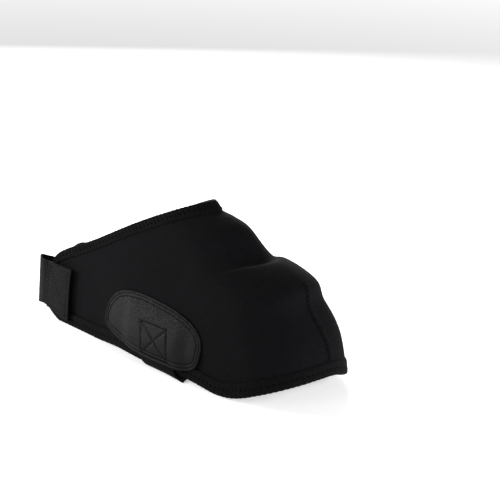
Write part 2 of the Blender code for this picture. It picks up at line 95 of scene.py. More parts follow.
# The four edges of one half of the sheet: along is a share of the length, out of half the forefoot's width,
# up of the height. Rows run from the rear to the centre plane, and on the ridge from the throat to the toe.
HEM = [  # along, out, up
    (0.085, 0.54, 0.050),
    (0.130, 0.57, 0.000),
    (0.300, 0.68, 0.000),
    (0.500, 0.88, 0.000),
    (0.700, 0.94, -0.006),
    (0.820, 0.98, 0.016),
    (0.900, 0.93, 0.085),
    (0.962, 0.66, 0.142),
    (0.991, 0.34, 0.167),
    (1.000, 0.00, 0.172),
]
COLLAR = [  # along, out, up
    (0.090, 0.49, 0.388),
    (0.115, 0.49, 0.442),
    (0.240, 0.45, 0.592),
    (0.380, 0.41, 0.775),
    (0.490, 0.34, 0.905),
    (0.560, 0.19, 0.978),
    (0.590, 0.00, 1.000),
]
RIDGE = [  # along, up
    (0.590, 1.000),
    (0.613, 0.955),
    (0.650, 0.935),
    (0.700, 0.895),
    (0.780, 0.735),
    (0.810, 0.750),
    (0.905, 0.650),
    (0.918, 0.535),
    (0.974, 0.363),
    (0.993, 0.260),
    (1.000, 0.172),
]
REAR = [  # along, out, up
    (0.090, 0.49, 0.388),
    (0.087, 0.54, 0.230),
    (0.085, 0.54, 0.050),
]
SEAM_TOP = 0.60             # share of the ridge above the dart
DROOP_AT = 0.12             # share of the hem's half, from the centre plane to the middle of the droop
DROOP_FROM = 0.72           # share of the way down from the collar where it begins
FULL_AT = (0.11, 0.76)      # shares round the cover, from the centre plane, and down where it stands out most
BENDS_END = 0.56            # share of the ridge above which its sharp bends die out on both sides of it
BENDS_FALL = 20             # the higher, the sooner they do

# Outlines of the patches, from the rear to the front, as shares of their length and height
OUTER_PATCH = [  # along, low, high
    (0.00, 0.30, 0.44),
    (0.02, 0.22, 0.60),
    (0.06, 0.16, 0.75),
    (0.12, 0.11, 0.87),
    (0.22, 0.06, 0.96),
    (0.37, 0.02, 1.00),
    (0.56, 0.00, 0.98),
    (0.70, 0.00, 0.94),
    (0.82, 0.00, 0.87),
    (0.91, 0.04, 0.77),
    (0.96, 0.10, 0.67),
    (0.99, 0.19, 0.55),
    (1.00, 0.30, 0.43),
]
INNER_PATCH = [  # along, low, high
    (0.00, 0.02, 0.05),
    (0.02, 0.01, 0.28),
    (0.07, 0.00, 0.52),
    (0.16, 0.00, 0.77),
    (0.30, 0.01, 0.95),
    (0.48, 0.02, 1.00),
    (0.66, 0.02, 0.95),
    (0.81, 0.01, 0.78),
    (0.91, 0.00, 0.55),
    (0.97, 0.00, 0.29),
    (1.00, 0.01, 0.05),
]

# Free loop of the heel strap, from the side to the middle of the back: along is a share of the loop's depth,
# out of the half width where it leaves the neoprene, up of the strap's width.
LOOP_LOW_EDGE = [  # along, out, up
    (0.62, 0.98, 0.19),
    (0.20, 0.77, 0.12),
    (0.02, 0.36, 0.06),
    (0.00, 0.00, 0.03),
]
LOOP_HIGH_EDGE = [  # along, out, up
    (0.60, 0.95, 1.00),
    (0.26, 0.75, 1.02),
    (0.15, 0.37, 0.92),
    (0.14, 0.00, 0.84),
]

# Soft troughs and ridges of the neoprene, each along a line of places on the sheet
CREASES = [  # (a, v) places, half width, height
    ([(0.08, 0.362), (0.00, 0.360), (-0.10, 0.345), (-0.20, 0.325), (-0.34, 0.318), (-0.46, 0.320)], 0.0135, -0.0014),
    ([(-0.04, 0.430), (-0.14, 0.395), (-0.26, 0.378), (-0.38, 0.375)], 0.0140, 0.0012),
]

# Stitches
THREAD = 0.00045            # thickness of the thread
HEM_PITCH = 0.0046
HEM_ROW = 0.48              # place of the row across the tape, from its edge
COLLAR_PITCH = 0.0042
COLLAR_ROW = 0.55
SEAM_ROW = 0.62             # place of both rows, from the seam's middle to its edge
# Painted shade: a near black colour painted into the pinholes of stitches, for the shade that falls in them
PINHOLE_PAINTED_SHADE = (0.0004, 0.0004, 0.0005)   # inside a pinhole
SEAM_PITCH = 0.0038
PATCH_PITCH = 0.0028
BOX_PITCH = 0.0030

# How fine the grids are
SHELL_STATIONS = 320
SHELL_ROWS = 96
TAPE_STATION = 0.00075      # spacing along the tapes
STRAP_ROWS = 40
STRAP_STATIONS = 220
PATCH_COLUMNS = 210
PATCH_ROWS = 84

# Camera and photograph
VIEW_AZIMUTH = 41.243
VIEW_ELEVATION = 19.094
VIEW_ROLL = 2.064
VIEW_DISTANCE = 1.251
VIEW_TARGET = (0.011, 0.0, 0.070)
VIEW_LENS = 108.0
VIEW_TURNED = (2.066, 0.867)   # degrees that the camera looks right of the target, and above it


# Smooth curves

def knots_of(points):
    """Return rising knots from 0 to 1, spaced by the square root of the chords."""
    chords = np.linalg.norm(np.diff(points, axis=0), axis=-1)
    while chords.ndim > 1:
        chords = chords.mean(axis=-1)
    knots = np.concatenate([[0.0], np.cumsum(np.sqrt(chords))])
    return knots / knots[-1]


def smooth(points):
    """Return a function of 0 to 1 that runs smoothly through the points, or through rows of points."""
    points = np.asarray(points, float)
    knots = knots_of(points)
    slopes = np.gradient(points, knots, axis=0)

    def at(share):
        share = np.clip(np.asarray(share, float), 0.0, 1.0)
        index = np.clip(np.searchsorted(knots, share, side="right") - 1, 0, len(knots) - 2)
        width = knots[index + 1] - knots[index]
        q = (share - knots[index]) / width
        extra = (1,) * (points.ndim - 1)
        q = q.reshape(q.shape + extra)
        width = width.reshape(width.shape + extra)
        start = (2 * q**3 - 3 * q**2 + 1) * points[index] + (q**3 - 2 * q**2 + q) * width * slopes[index]
        end = (3 * q**2 - 2 * q**3) * points[index + 1] + (q**3 - q**2) * width * slopes[index + 1]
        return start + end

    return at


def even_speed(curve, samples=400):
    """Return the curve read by its share of arc length."""
    share = np.linspace(0.0, 1.0, samples)
    steps = np.linalg.norm(np.diff(curve(share), axis=0), axis=1)
    length = np.concatenate([[0.0], np.cumsum(steps)])
    length /= length[-1]
    return lambda part: curve(np.interp(part, length, share))


def sharp_bends(curve, spread=0.09, samples=401):
    """Return what the curve has over its own running mean, from its start to BENDS_END."""
    share = np.linspace(0.0, 1.0, samples)
    near = [curve(np.clip(share + offset, 0.0, 1.0)) for offset in np.linspace(-spread, spread, 7)]
    ends = soft_step(share / 0.15) * soft_step((BENDS_END - share) / 0.15)
    extra = (curve(share) - np.mean(near, axis=0)) * ends[:, None]
    return lambda part: np.stack([np.interp(part, share, column) for column in extra.T], axis=-1)


def soft_step(value):
    """Return 0 below 0, 1 above 1 and a smooth rise between."""
    q = np.clip(value, 0.0, 1.0)
    return q * q * (3.0 - 2.0 * q)


def bell(value):
    """Return 1 at 0, falling away smoothly to both sides."""
    return np.exp(-np.square(value))


# The cover's form

TAPE_STAND = GAP + TAPE
PRESSED = 0.0001            # how far the tape's corners are pressed into the floor's plane
REACH = LENGTH - TAPE_STAND - TAPE_ROUND
HALF_WIDTH = FOREFOOT_WIDTH / 2 - TAPE_STAND
FLOOR_CLEARANCE = TAPE_STAND - PRESSED
RISE = HEIGHT - TAPE_STAND - TAPE_ROUND - FLOOR_CLEARANCE


def sized(rows):
    """Return a table's rows as lengths, with the out column 0 where there is none."""
    full = [row if len(row) == 3 else (row[0], 0.0, row[1]) for row in rows]
    lengths = np.array(full) * (REACH, HALF_WIDTH, RISE)
    return lengths + (0.0, 0.0, FLOOR_CLEARANCE)


def to_centre(rows):
    """Return the smooth curve of a half, from the rear to a square crossing of the centre plane."""
    points = sized(rows)
    mirrored = points[-2] * (1.0, -1.0, 1.0)
    curve = smooth(np.vstack([points, mirrored]))
    share = np.linspace(0.0, 1.0, 2001)
    crossing = share[np.argmax(curve(share)[:, 1] <= 1e-9)]
    return even_speed(lambda part: curve(part * crossing))


def arch(x):
    """Return how far the hem lifts to let the webbing pass under it."""
    lift = UNDER_THICKNESS + TAPE_ROUND + 2 * GAP
    reach = UNDER_WIDTH / 2 + UNDER_SKEW
    return lift * (1.0 - soft_step((np.abs(x - UNDER_MIDDLE) - reach) / UNDER_WIDTH))


def rested(points):
    """Keep the hem off the floor by the tape's thickness, and arch it over the webbing."""
    points = points.copy()
    lifted = points[..., 2] + arch(points[..., 0])
    points[..., 2] = np.maximum(lifted, FLOOR_CLEARANCE + arch(points[..., 0]))
    return points


hem_curve = to_centre(HEM)
collar_curve = to_centre(COLLAR)
ridge_curve = even_speed(smooth(sized(RIDGE)))
rear_curve = even_speed(smooth(sized(REAR)))
ridge_bends = sharp_bends(ridge_curve)


def droop(a, v):
    """Return how far the sheet sinks where the hem droops."""
    near = bell((a - DROOP_AT) / 0.09) * soft_step((a + DROOP_AT / 2) / DROOP_AT)
    share = near * soft_step((v - DROOP_FROM) / (1.0 - DROOP_FROM))
    return share[..., None] * (0.0, DROOP_IN, DROOP)


def fullness(a, v):
    """Return how far the sheet stands out beside the toe's seam."""
    u = np.abs(a)
    share = soft_step(u / 0.08) * bell((u - FULL_AT[0]) / 0.10) * bell((v - FULL_AT[1]) / 0.15)
    side = np.where(a < 0, OUTER_SIDE, INNER_SIDE)
    return FULL * np.stack([0.75 * share, 0.66 * share * side, 0.0 * share], axis=-1)


def surface(a, v):
    """Return the outside of the neoprene: a runs from -1 at the outer rear edge round the toe to 1 at the
    inner one, v from 0 at the collar to 1 at the hem. It is a Coons patch between the four edges, where the
    ridge's sharp bends die out soon on both sides of it."""
    a, v = np.broadcast_arrays(np.asarray(a, float), np.asarray(v, float))
    u = 1.0 - np.abs(a)
    down = v[..., None]
    front = np.sin(np.pi / 2 * u)[..., None]
    hem = rested(hem_curve(u))
    collar = collar_curve(u)
    rear_chord = (1 - down) * collar_curve(np.zeros_like(u)) + down * hem_curve(np.zeros_like(u))
    ridge_chord = (1 - down) * collar_curve(np.ones_like(u)) + down * hem_curve(np.ones_like(u))
    point = (1 - down) * collar + down * hem
    point = point + (1 - front) * (rear_curve(v) - rear_chord)
    point = point + front * (ridge_curve(v) - ridge_chord) - (front - front**BENDS_FALL) * ridge_bends(v)
    side = np.where(a < 0, OUTER_SIDE, INNER_SIDE)
    point[..., 1] *= side
    return point - droop(a, v) + fullness(a, v)


def slopes_of(a, v, step=1e-4):
    """Return the surface's two directions, forward round the toe and down."""
    a_low, a_high = np.clip(a - step, -1, 1), np.clip(a + step, -1, 1)
    v_low, v_high = np.clip(v - step, 0, 1), np.clip(v + step, 0, 1)
    around = (surface(a_high, v) - surface(a_low, v)) / (a_high - a_low)[..., None]
    down = (surface(a, v_high) - surface(a, v_low)) / (v_high - v_low)[..., None]
    return around, down


def unit(vectors):
    return vectors / np.linalg.norm(vectors, axis=-1, keepdims=True)


def outward(a, v):
    around, down = slopes_of(a, v)
    return unit(np.cross(down, around))


def crease_lines():
    """Return each crease as points in space, its half width and its height."""
    lines = []
    for places, half_width, height in CREASES:
        path = smooth(places)(np.linspace(0.0, 1.0, 40))
        lines.append((surface(path[:, 0], path[:, 1]), half_width, height))
    return lines


crease_paths = crease_lines()


def folds(points):
    """Return how far the creases lift or sink the neoprene at points of its form."""
    total = np.zeros(points.shape[:-1])
    for path, half_width, height in crease_paths:
        away = np.linalg.norm(points[..., None, :] - path, axis=-1)
        nearest = away.argmin(axis=-1)
        share = nearest / (len(path) - 1)
        fade = soft_step(3.0 * share) * soft_step(3.0 * (1.0 - share))
        total += height * fade * bell(away.min(axis=-1) / half_width)
    return total


def raised(a, v, height):
    """Return points at a height over the creased neoprene; below 0 is towards the foot."""
    a, v, height = np.broadcast_arrays(np.asarray(a, float), np.asarray(v, float), np.asarray(height, float))
    base = surface(a, v)
    return base + outward(a, v) * (height + folds(base))[..., None]


def lengths_down(a, samples=80):
    """Return v samples and the length of the sheet down to each, for every a."""
    v = np.linspace(0.0, 1.0, samples)
    points = surface(np.asarray(a)[:, None], v[None, :])
    steps = np.linalg.norm(np.diff(points, axis=1), axis=2)
    lengths = np.concatenate([np.zeros((len(a), 1)), np.cumsum(steps, axis=1)], axis=1)
    return v, lengths


def v_from_edge(a, distances, edge_v):
    """Return the v at each distance from the collar, edge_v 0, or from the hem, edge_v 1."""
    v, lengths = lengths_down(a)
    along = lengths if edge_v < 0.5 else lengths[:, -1:] - lengths
    order = slice(None) if edge_v < 0.5 else slice(None, None, -1)
    return np.array([np.interp(d, row[order], v[order]) for d, row in zip(distances, along)])


def above_hem(a, v, samples=24):
    """Return the length of the sheet from each point down to the hem."""
    share = np.linspace(0.0, 1.0, samples)
    path = v[..., None] + (1.0 - v[..., None]) * share
    points = surface(a[..., None], path)
    return np.linalg.norm(np.diff(points, axis=-2), axis=-1).sum(axis=-1)


def place_on_side(x, z, side):
    """Return the a and v of the points of one side that have the given x and z."""
    x, z = np.broadcast_arrays(np.asarray(x, float), np.asarray(z, float))
    a = np.full(x.shape, side * 0.6)
    v = np.full(x.shape, 0.7)
    for _ in range(30):
        here = surface(a, v)
        around, down = slopes_of(a, v)
        miss_x, miss_z = x - here[..., 0], z - here[..., 2]
        scale = around[..., 0] * down[..., 2] - around[..., 2] * down[..., 0]
        a_move = (miss_x * down[..., 2] - miss_z * down[..., 0]) / scale
        v_move = (miss_z * around[..., 0] - miss_x * around[..., 2]) / scale
        a = side * np.clip(side * (a + np.clip(a_move, -0.1, 0.1)), 0.02, 1.0)
        v = np.clip(v + np.clip(v_move, -0.1, 0.1), 0.0, 1.0)
    return a, v


# What lies between the neoprene and a piece sewn over it

def over_hem_tape(a, v, fall=ABOVE_TAPE):
    """Return the height that clears the hem's tape, falling away above it."""
    return TAPE_STAND * (1.0 - soft_step((above_hem(a, v) - HEM_TAPE - ABOVE_TAPE) / fall))


def webbing_middle(z, side):
    """Return the x of the middle of the webbing under the foot at a height on one side."""
    return UNDER_MIDDLE - side * UNDER_SKEW * np.clip(1.0 - z / UNDER_TOP, 0.0, 1.0) ** 3


def over_webbing(x, z, side):
    """Return the height that clears the ends of the webbing under the foot, falling away round it."""
    past = np.abs(x - webbing_middle(z, side)) - UNDER_WIDTH / 2 - UNDER_MARGIN
    beside = 1.0 - soft_step(past / UNDER_FALL)
    above = 1.0 - soft_step((z - UNDER_TOP - UNDER_MARGIN) / UNDER_FALL)
    return (UNDER_THICKNESS + 2 * GAP) * beside * above


# Grids

def rounded_shares(count, length, edge=0.0009):
    """Return shares from 0 to 1 with a few more close to both ends, to round a sheet's edge."""
    close = edge * np.array([0.0, 0.12, 0.4, 1.0]) / length
    middle = np.linspace(close[-1], 1.0 - close[-1], count)
    return np.concatenate([close[:-1], middle, 1.0 - close[-2::-1]])


def steps_of(points, axis):
    """Return the running length of a grid's lines along one axis."""
    steps = np.linalg.norm(np.diff(points, axis=axis), axis=-1)
    start = np.zeros_like(np.take(steps, [0], axis=axis))
    return np.concatenate([start, np.cumsum(steps, axis=axis)], axis=axis)


def grid_away(points, flipped):
    """Return the unit directions away from the foot at a grid's points."""
    around = np.gradient(points, axis=0)
    down = np.gradient(points, axis=1)
    away = unit(np.cross(down, around))
    return -away if flipped else away


def round_edge(distance, radius):
    """Return 0 at an edge, rising round to 1 at the radius."""
    q = np.clip(1.0 - distance / radius, 0.0, 1.0)
    return np.sqrt(np.clip(1.0 - q * q, 0.0, 1.0))


def border_distance(points):
    """Return the distance of each point of a grid from the nearest of its four borders."""
    along = steps_of(points, 0)
    across = steps_of(points, 1)
    return np.minimum(np.minimum(along, along[-1:] - along), np.minimum(across, across[:, -1:] - across))


def sheet_faces(count_i, count_j, flipped):
    """Return the quads of a grid whose outside is seen when i runs forward and j runs down."""
    i, j = np.meshgrid(np.arange(count_i - 1), np.arange(count_j - 1), indexing="ij")
    first = (i * count_j + j).ravel()
    quads = np.stack([first, first + 1, first + count_j + 1, first + count_j], axis=1)
    return quads[:, ::-1] if flipped else quads


def add_mesh(name, points, faces, material, uv=None):
    """Add a mesh piece that rides on the cover; uv holds one pair of lengths for each point."""
    mesh = bpy.data.meshes.new(name)
    moved = np.asarray(points, float) - (LENGTH / 2, 0.0, 0.0)
    mesh.from_pydata(moved.tolist(), [], np.asarray(faces).tolist())
    mesh.update()
    mesh.shade_smooth()
    mesh.materials.append(material)
    if uv is not None:
        layer = mesh.uv_layers.new(name="lengths")
        corners = np.zeros(len(mesh.loops), int)
        mesh.loops.foreach_get("vertex_index", corners)
        layer.data.foreach_set("uv", np.asarray(uv, float)[corners].ravel())
    piece = bpy.data.objects.new(name, mesh)
    bpy.context.scene.collection.objects.link(piece)
    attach(piece, "root")
    return piece


def grid_lengths(points):
    """Return for each point of a grid its length along and across, for patterns."""
    along = steps_of(points, 0).mean(axis=1, keepdims=True) + np.zeros(points.shape[:2])
    across = steps_of(points, 1)
    return np.stack([along, across], axis=-1).reshape(-1, 2)


def add_slab(name, middle, half, material, flipped=False, uv=None, floor=None):
    """Add a sheet with rounded edges: half is its half thickness, 0 on the grid's border."""
    count_i, count_j = middle.shape[:2]
    away = grid_away(middle, flipped)
    outer = (middle + away * half[..., None]).reshape(-1, 3)
    inner = (middle - away * half[..., None]).reshape(-1, 3)
    count = count_i * count_j
    index = np.arange(count).reshape(count_i, count_j)
    below = index + count
    below[0], below[-1] = index[0], index[-1]
    below[:, 0], below[:, -1] = index[:, 0], index[:, -1]
    front = sheet_faces(count_i, count_j, flipped)
    back = below.ravel()[front][:, ::-1]
    used, compact = np.unique(np.concatenate([front.ravel(), back.ravel()]), return_inverse=True)
    points = np.concatenate([outer, inner])[used]
    if floor is not None:
        points[:, 2] = np.maximum(points[:, 2], floor)
    faces = compact.reshape(-1, 4)
    lengths = grid_lengths(middle) if uv is None else uv
    lengths = np.concatenate([lengths, lengths])[used]
    return add_mesh(name, points, faces, material, lengths)


# Threads

def resampled(points, normals, spacing, closed=False, length=None):
    """Return a function from the length along a path to its point and normal, the whole length and a count."""
    if closed:
        points = np.vstack([points, points[:1]])
        normals = np.vstack([normals, normals[:1]])
    if length is None:
        length = np.concatenate([[0.0], np.cumsum(np.linalg.norm(np.diff(points, axis=0), axis=1))])
    count = max(2, round(length[-1] / spacing))

    def at(distance):
        place = np.stack([np.interp(distance, length, points[:, k]) for k in range(3)], axis=-1)
        lean = np.stack([np.interp(distance, length, normals[:, k]) for k in range(3)], axis=-1)
        return place, unit(lean)

    return at, length[-1], count


def stitch_row(points, normals, pitch, rise=0.0002, share=0.8, closed=False, along=None):
    """Return the short threads of a row of stitches as paths in space with their normals."""
    at, length, count = resampled(points, normals, pitch, closed, along)
    step = length / count if along is None else pitch
    local = np.linspace(-0.5, 0.5, 6) * share * step
    middles = (np.arange(count) + 0.5) * step
    place, lean = at(middles[:, None] + local[None, :])
    lift = rise * (1.0 - 2.4 * np.square(local / (share * step) * 2))
    return place + lean * lift[None, :, None], lean


def zigzag_row(left, right, normals, rise):
    """Return threads that cross from each place on the left to the next one on the right."""
    share = np.linspace(0.0, 1.0, 6)
    lift = rise * (1.0 - 2.0 * np.square(2 * share - 1))
    path = left[:, None] + (right - left)[:, None] * share[None, :, None]
    lean = np.repeat(normals[:, None], len(share), axis=1)
    return path + lean * lift[None, :, None], lean


def add_threads(name, rows, thickness, material, floor=None):
    """Add threads as tubes with closed, rounded ends."""
    sides = 6
    points, faces, used = [], [], 0
    angle = np.arange(sides) * 2 * np.pi / sides
    for path, lean in rows:
        count, stations = path.shape[:2]
        along = unit(np.gradient(path, axis=1))
        beside = unit(np.cross(along, lean))
        over = np.cross(beside, along)
        radius = thickness / 2 * np.array([0.45] + [1.0] * (stations - 2) + [0.45])
        ring = over[:, :, None] * np.cos(angle)[:, None] + beside[:, :, None] * np.sin(angle)[:, None]
        tube = path[:, :, None] + ring * radius[None, :, None, None]
        points.append(tube.reshape(-1, 3))
        for item in range(count):
            base = used + item * stations * sides
            for station in range(stations - 1):
                for k in range(sides):
                    here = base + station * sides
                    turn = (k + 1) % sides
                    faces.append((here + k, here + turn, here + sides + turn, here + sides + k))
            faces.append(tuple(base + k for k in reversed(range(sides))))
            faces.append(tuple(base + (stations - 1) * sides + k for k in range(sides)))
        used += count * stations * sides
    points = np.concatenate(points)
    if floor is not None:
        points[:, 2] = np.maximum(points[:, 2], floor)
    mesh = bpy.data.meshes.new(name)
    mesh.from_pydata((points - (LENGTH / 2, 0.0, 0.0)).tolist(), [], faces)
    mesh.update()
    mesh.shade_smooth()
    mesh.materials.append(material)
    piece = bpy.data.objects.new(name, mesh)
    bpy.context.scene.collection.objects.link(piece)
    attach(piece, "root")
    return piece


# Materials

def add_node(tree, kind, values=None, **settings):
    """Add a shader node, set its properties, and set or link its inputs."""
    item = tree.nodes.new(kind)
    for key, value in settings.items():
        setattr(item, key, value)
    for socket, value in (values or {}).items():
        if isinstance(value, bpy.types.NodeSocket):
            tree.links.new(value, item.inputs[socket])
        else:
            item.inputs[socket].default_value = value
    return item


def figure(tree, operation, *terms):
    """Return the result of a math node on the terms."""
    return add_node(tree, "ShaderNodeMath", dict(enumerate(terms)), operation=operation).outputs[0]


def ribs(tree, length, pitch):
    """Return 0 to 1 ridges along a length."""
    turns = figure(tree, "MULTIPLY", length, 2 * math.pi / pitch)
    return figure(tree, "MULTIPLY_ADD", figure(tree, "COSINE", turns), 0.5, 0.5)


def lengths_of_cloth(tree):
    """Return the lengths along and across the piece of cloth."""
    place = add_node(tree, "ShaderNodeUVMap", uv_map="lengths")
    parts = add_node(tree, "ShaderNodeSeparateXYZ", {0: place.outputs[0]})
    return parts.outputs[0], parts.outputs[1]


def speckle(tree, size, detail=2.0, roughness=0.5):
    """Return noise of about a size in space."""
    place = add_node(tree, "ShaderNodeTexCoord").outputs["Object"]
    values = {"Vector": place, "Scale": 1.0 / size, "Detail": detail, "Roughness": roughness}
    return add_node(tree, "ShaderNodeTexNoise", values).outputs[0]


def pierced(tree, along, across, pitch, rows, radius):
    """Return 0 in the pinholes of rows of stitches and 1 elsewhere, the mask for the shade painted into them; a row
    is its place across and its shift.
    """
    whole = None
    for place, shift in rows:
        turn = figure(tree, "FRACT", figure(tree, "MULTIPLY_ADD", along, 1.0 / pitch, shift))
        beside = figure(tree, "MULTIPLY", figure(tree, "SUBTRACT", turn, 0.5), pitch)
        off = figure(tree, "SUBTRACT", across, place)
        squares = figure(tree, "MULTIPLY_ADD", beside, beside, figure(tree, "MULTIPLY", off, off))
        apart = figure(tree, "SQRT", squares)
        ends = {0: apart, 1: 0.6 * radius, 2: 1.3 * radius, 3: 0.0, 4: 1.0}
        clear = add_node(tree, "ShaderNodeMapRange", ends).outputs[0]
        whole = clear if whole is None else figure(tree, "MULTIPLY", whole, clear)
    return whole


def finished(material, tree, height, depth, shade, dark, light, rough, holes=None):
    """Join a material's height, its shades from dark to light and its roughness range to its shader, and paint shade
    into the pinholes where holes is 0.
    """
    shader = tree.nodes["Principled BSDF"]
    bump = add_node(tree, "ShaderNodeBump", {"Height": height, "Distance": depth, "Strength": 1.0})
    tree.links.new(bump.outputs[0], shader.inputs["Normal"])
    ramp = add_node(tree, "ShaderNodeMapRange", {0: shade, 1: 0.25, 2: 0.75, 3: 0.0, 4: 1.0})
    colour = add_node(tree, "ShaderNodeMix", data_type="RGBA")
    tree.links.new(ramp.outputs[0], colour.inputs[0])
    colour.inputs[6].default_value = (*dark, 1.0)
    colour.inputs[7].default_value = (*light, 1.0)
    shown = colour.outputs[2]
    # painted shade: where holes is 0 the colour is the pinholes' painted shade
    if holes is not None:
        sewn = add_node(tree, "ShaderNodeMix", data_type="RGBA")
        tree.links.new(holes, sewn.inputs[0])
        sewn.inputs[6].default_value = (*PINHOLE_PAINTED_SHADE, 1.0)
        tree.links.new(shown, sewn.inputs[7])
        shown = sewn.outputs[2]
    tree.links.new(shown, shader.inputs["Base Color"])
    gloss = add_node(tree, "ShaderNodeMapRange", {0: height, 1: 0.0, 2: 1.0, 3: rough[0], 4: rough[1]})
    tree.links.new(gloss.outputs[0], shader.inputs["Roughness"])
    return material


def new_material(name, sheen=0.0, sheen_roughness=0.5, sheen_tint=(1.0, 1.0, 1.0), specular=0.4):
    material = bpy.data.materials.new(name)
    material.use_nodes = True
    shader = material.node_tree.nodes["Principled BSDF"]
    shader.inputs["Sheen Weight"].default_value = sheen
    shader.inputs["Sheen Roughness"].default_value = sheen_roughness
    shader.inputs["Sheen Tint"].default_value = (*sheen_tint, 1.0)
    shader.inputs["Specular IOR Level"].default_value = specular
    return material, material.node_tree


def make_neoprene(name, dark, light, sheen, rows=None):
    """Smooth jersey bonded to foam rubber: fine wales and courses under a soft cloudy nap; with rows, shade is
    painted into the pinholes of a seam.
    """
    material, tree = new_material(name, sheen, 0.45, specular=0.03)
    along, across = lengths_of_cloth(tree)
    wales = ribs(tree, along, 0.0009)
    lean = figure(tree, "MULTIPLY_ADD", wales, 0.0004, across)
    courses = ribs(tree, lean, 0.0007)
    knit = figure(tree, "MULTIPLY", wales, courses)
    nap = speckle(tree, 0.0006, 3.0, 0.7)
    height = figure(tree, "MULTIPLY_ADD", knit, 0.35, figure(tree, "MULTIPLY", nap, 0.65))
    cloud = speckle(tree, 0.004, 4.0, 0.65)
    # painted shade in the pinholes of the seam's rows
    holes = pierced(tree, across, along, SEAM_PITCH, rows, 0.0008) if rows else None
    return finished(material, tree, height, 0.00016, cloud, dark, light, (0.95, 0.8), holes)


def make_tape(name, row, pitch):
    """Stretchy knitted tape with fine cross ribs, pierced in the row at that share of its width, with shade painted
    into the pinholes.
    """
    material, tree = new_material(name, 0.02, 0.5, specular=0.03)
    along, across = lengths_of_cloth(tree)
    threads = figure(tree, "MULTIPLY", ribs(tree, along, 0.0008), ribs(tree, across, 0.0006))
    nap = speckle(tree, 0.0005, 2.0, 0.6)
    height = figure(tree, "MULTIPLY_ADD", threads, 0.5, figure(tree, "MULTIPLY", nap, 0.5))
    cloud = speckle(tree, 0.003, 3.0, 0.6)
    # painted shade in the pinholes of the stitch row
    holes = pierced(tree, along, across, pitch, [(row * HEM_TAPE, 0.5)], 0.0009)
    dark, light = (0.0018, 0.0018, 0.0022), (0.0040, 0.0040, 0.0046)
    return finished(material, tree, height, 0.00025, cloud, dark, light, (0.9, 0.75), holes)


def make_grain(name):
    """Coated cloth embossed with a small pebbled grain, its pebbles painted lighter as glints, more so towards the
    top.
    """
    material, tree = new_material(name, 0.0, specular=0.10)
    place = add_node(tree, "ShaderNodeTexCoord").outputs["Object"]
    cells = add_node(tree, "ShaderNodeTexVoronoi", {"Vector": place, "Scale": 850.0, "Smoothness": 0.5},
                     feature="SMOOTH_F1").outputs["Distance"]
    pebble = add_node(tree, "ShaderNodeMapRange", {0: cells, 1: 0.1, 2: 0.75, 3: 1.0, 4: 0.0}).outputs[0]
    _, up = lengths_of_cloth(tree)
    # painted glint: the pebbles count more towards the top, where light falls, in the colour as well as in the bump
    top_grain_and_painted_glint = add_node(tree, "ShaderNodeMapRange", {0: up, 1: 0.026, 2: 0.044, 3: 0.25, 4: 1.0}).outputs[0]
    pebble = figure(tree, "MULTIPLY", pebble, top_grain_and_painted_glint)
    fine = speckle(tree, 0.0007, 2.0, 0.6)
    height = figure(tree, "MULTIPLY_ADD", pebble, 0.8, figure(tree, "MULTIPLY", fine, 0.1))
    # colour lighter on the pebbles' peaks, a painted glint, over random clouding
    cloud = figure(tree, "MULTIPLY_ADD", pebble, 0.6, figure(tree, "MULTIPLY", speckle(tree, 0.005, 3.0, 0.6), 0.6))
    dark, light = (0.0012, 0.0012, 0.0015), (0.0056, 0.0056, 0.0064)
    return finished(material, tree, height, 0.0006, cloud, dark, light, (0.60, 0.30))


def make_webbing(name, rib_pitch, dot_pitch, along_ribs, dark, light):
    """Ribbed webbing; its ribs run along the webbing or across it, each crossed by its threads, and its colour
    follows them: painted shade in the valleys, painted light on the crests.
    """
    material, tree = new_material(name, 0.02, 0.5, specular=0.05)
    along, across = lengths_of_cloth(tree)
    over, under = (across, along) if along_ribs else (along, across)
    rib = ribs(tree, over, rib_pitch)
    half = figure(tree, "MULTIPLY_ADD", over, 0.5 * dot_pitch / rib_pitch, under)
    dots = ribs(tree, half, dot_pitch)
    fuzz = speckle(tree, 0.0006, 2.0, 0.6)
    relief = figure(tree, "MULTIPLY", rib, figure(tree, "MULTIPLY_ADD", dots, 0.5, 0.5))
    height = figure(tree, "MULTIPLY_ADD", fuzz, 0.2, figure(tree, "MULTIPLY", relief, 0.8))
    # the relief is also the colour's mix: painted shade in the valleys, painted light on the crests
    return finished(material, tree, height, 0.0005, height, dark, light, (0.8, 0.6))


def make_thread(name, shade):
    """Twisted sewing thread."""
    material, tree = new_material(name, 0.02, 0.4, specular=0.06)
    twist = speckle(tree, 0.0004, 1.0, 0.5)
    dark = tuple(0.6 * value for value in shade)
    return finished(material, tree, twist, 0.0001, twist, dark, shade, (0.7, 0.5))


def make_loops(name):
    """Brushed loop pile."""
    material, tree = new_material(name, 0.1, 0.5, specular=0.1)
    pile = speckle(tree, 0.0009, 4.0, 0.8)
    cloud = speckle(tree, 0.002, 3.0, 0.7)
    return finished(material, tree, pile, 0.0008, cloud, (0.004, 0.004, 0.0045), (0.014, 0.014, 0.0155), (1.0, 0.9))


# The pieces

def add_shell(material, lining):
    """The neoprene, in one sheet with the same thickness everywhere, and its lining on the inside."""
    a = np.linspace(-1.0, 1.0, SHELL_STATIONS + 1)
    v = np.linspace(0.0, 1.0, SHELL_ROWS + 1)
    points = raised(a[:, None], v[None, :], 0.0)
    faces = sheet_faces(len(a), len(v), False)
    shell = add_mesh("neoprene_upper", points.reshape(-1, 3), faces, material, grid_lengths(points))
    shell.data.materials.append(lining)
    solidify = shell.modifiers.new("thickness", "SOLIDIFY")
    solidify.thickness = WALL
    solidify.offset = -1.0
    solidify.material_offset = 1
    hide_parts("upper_shell")
    return shell


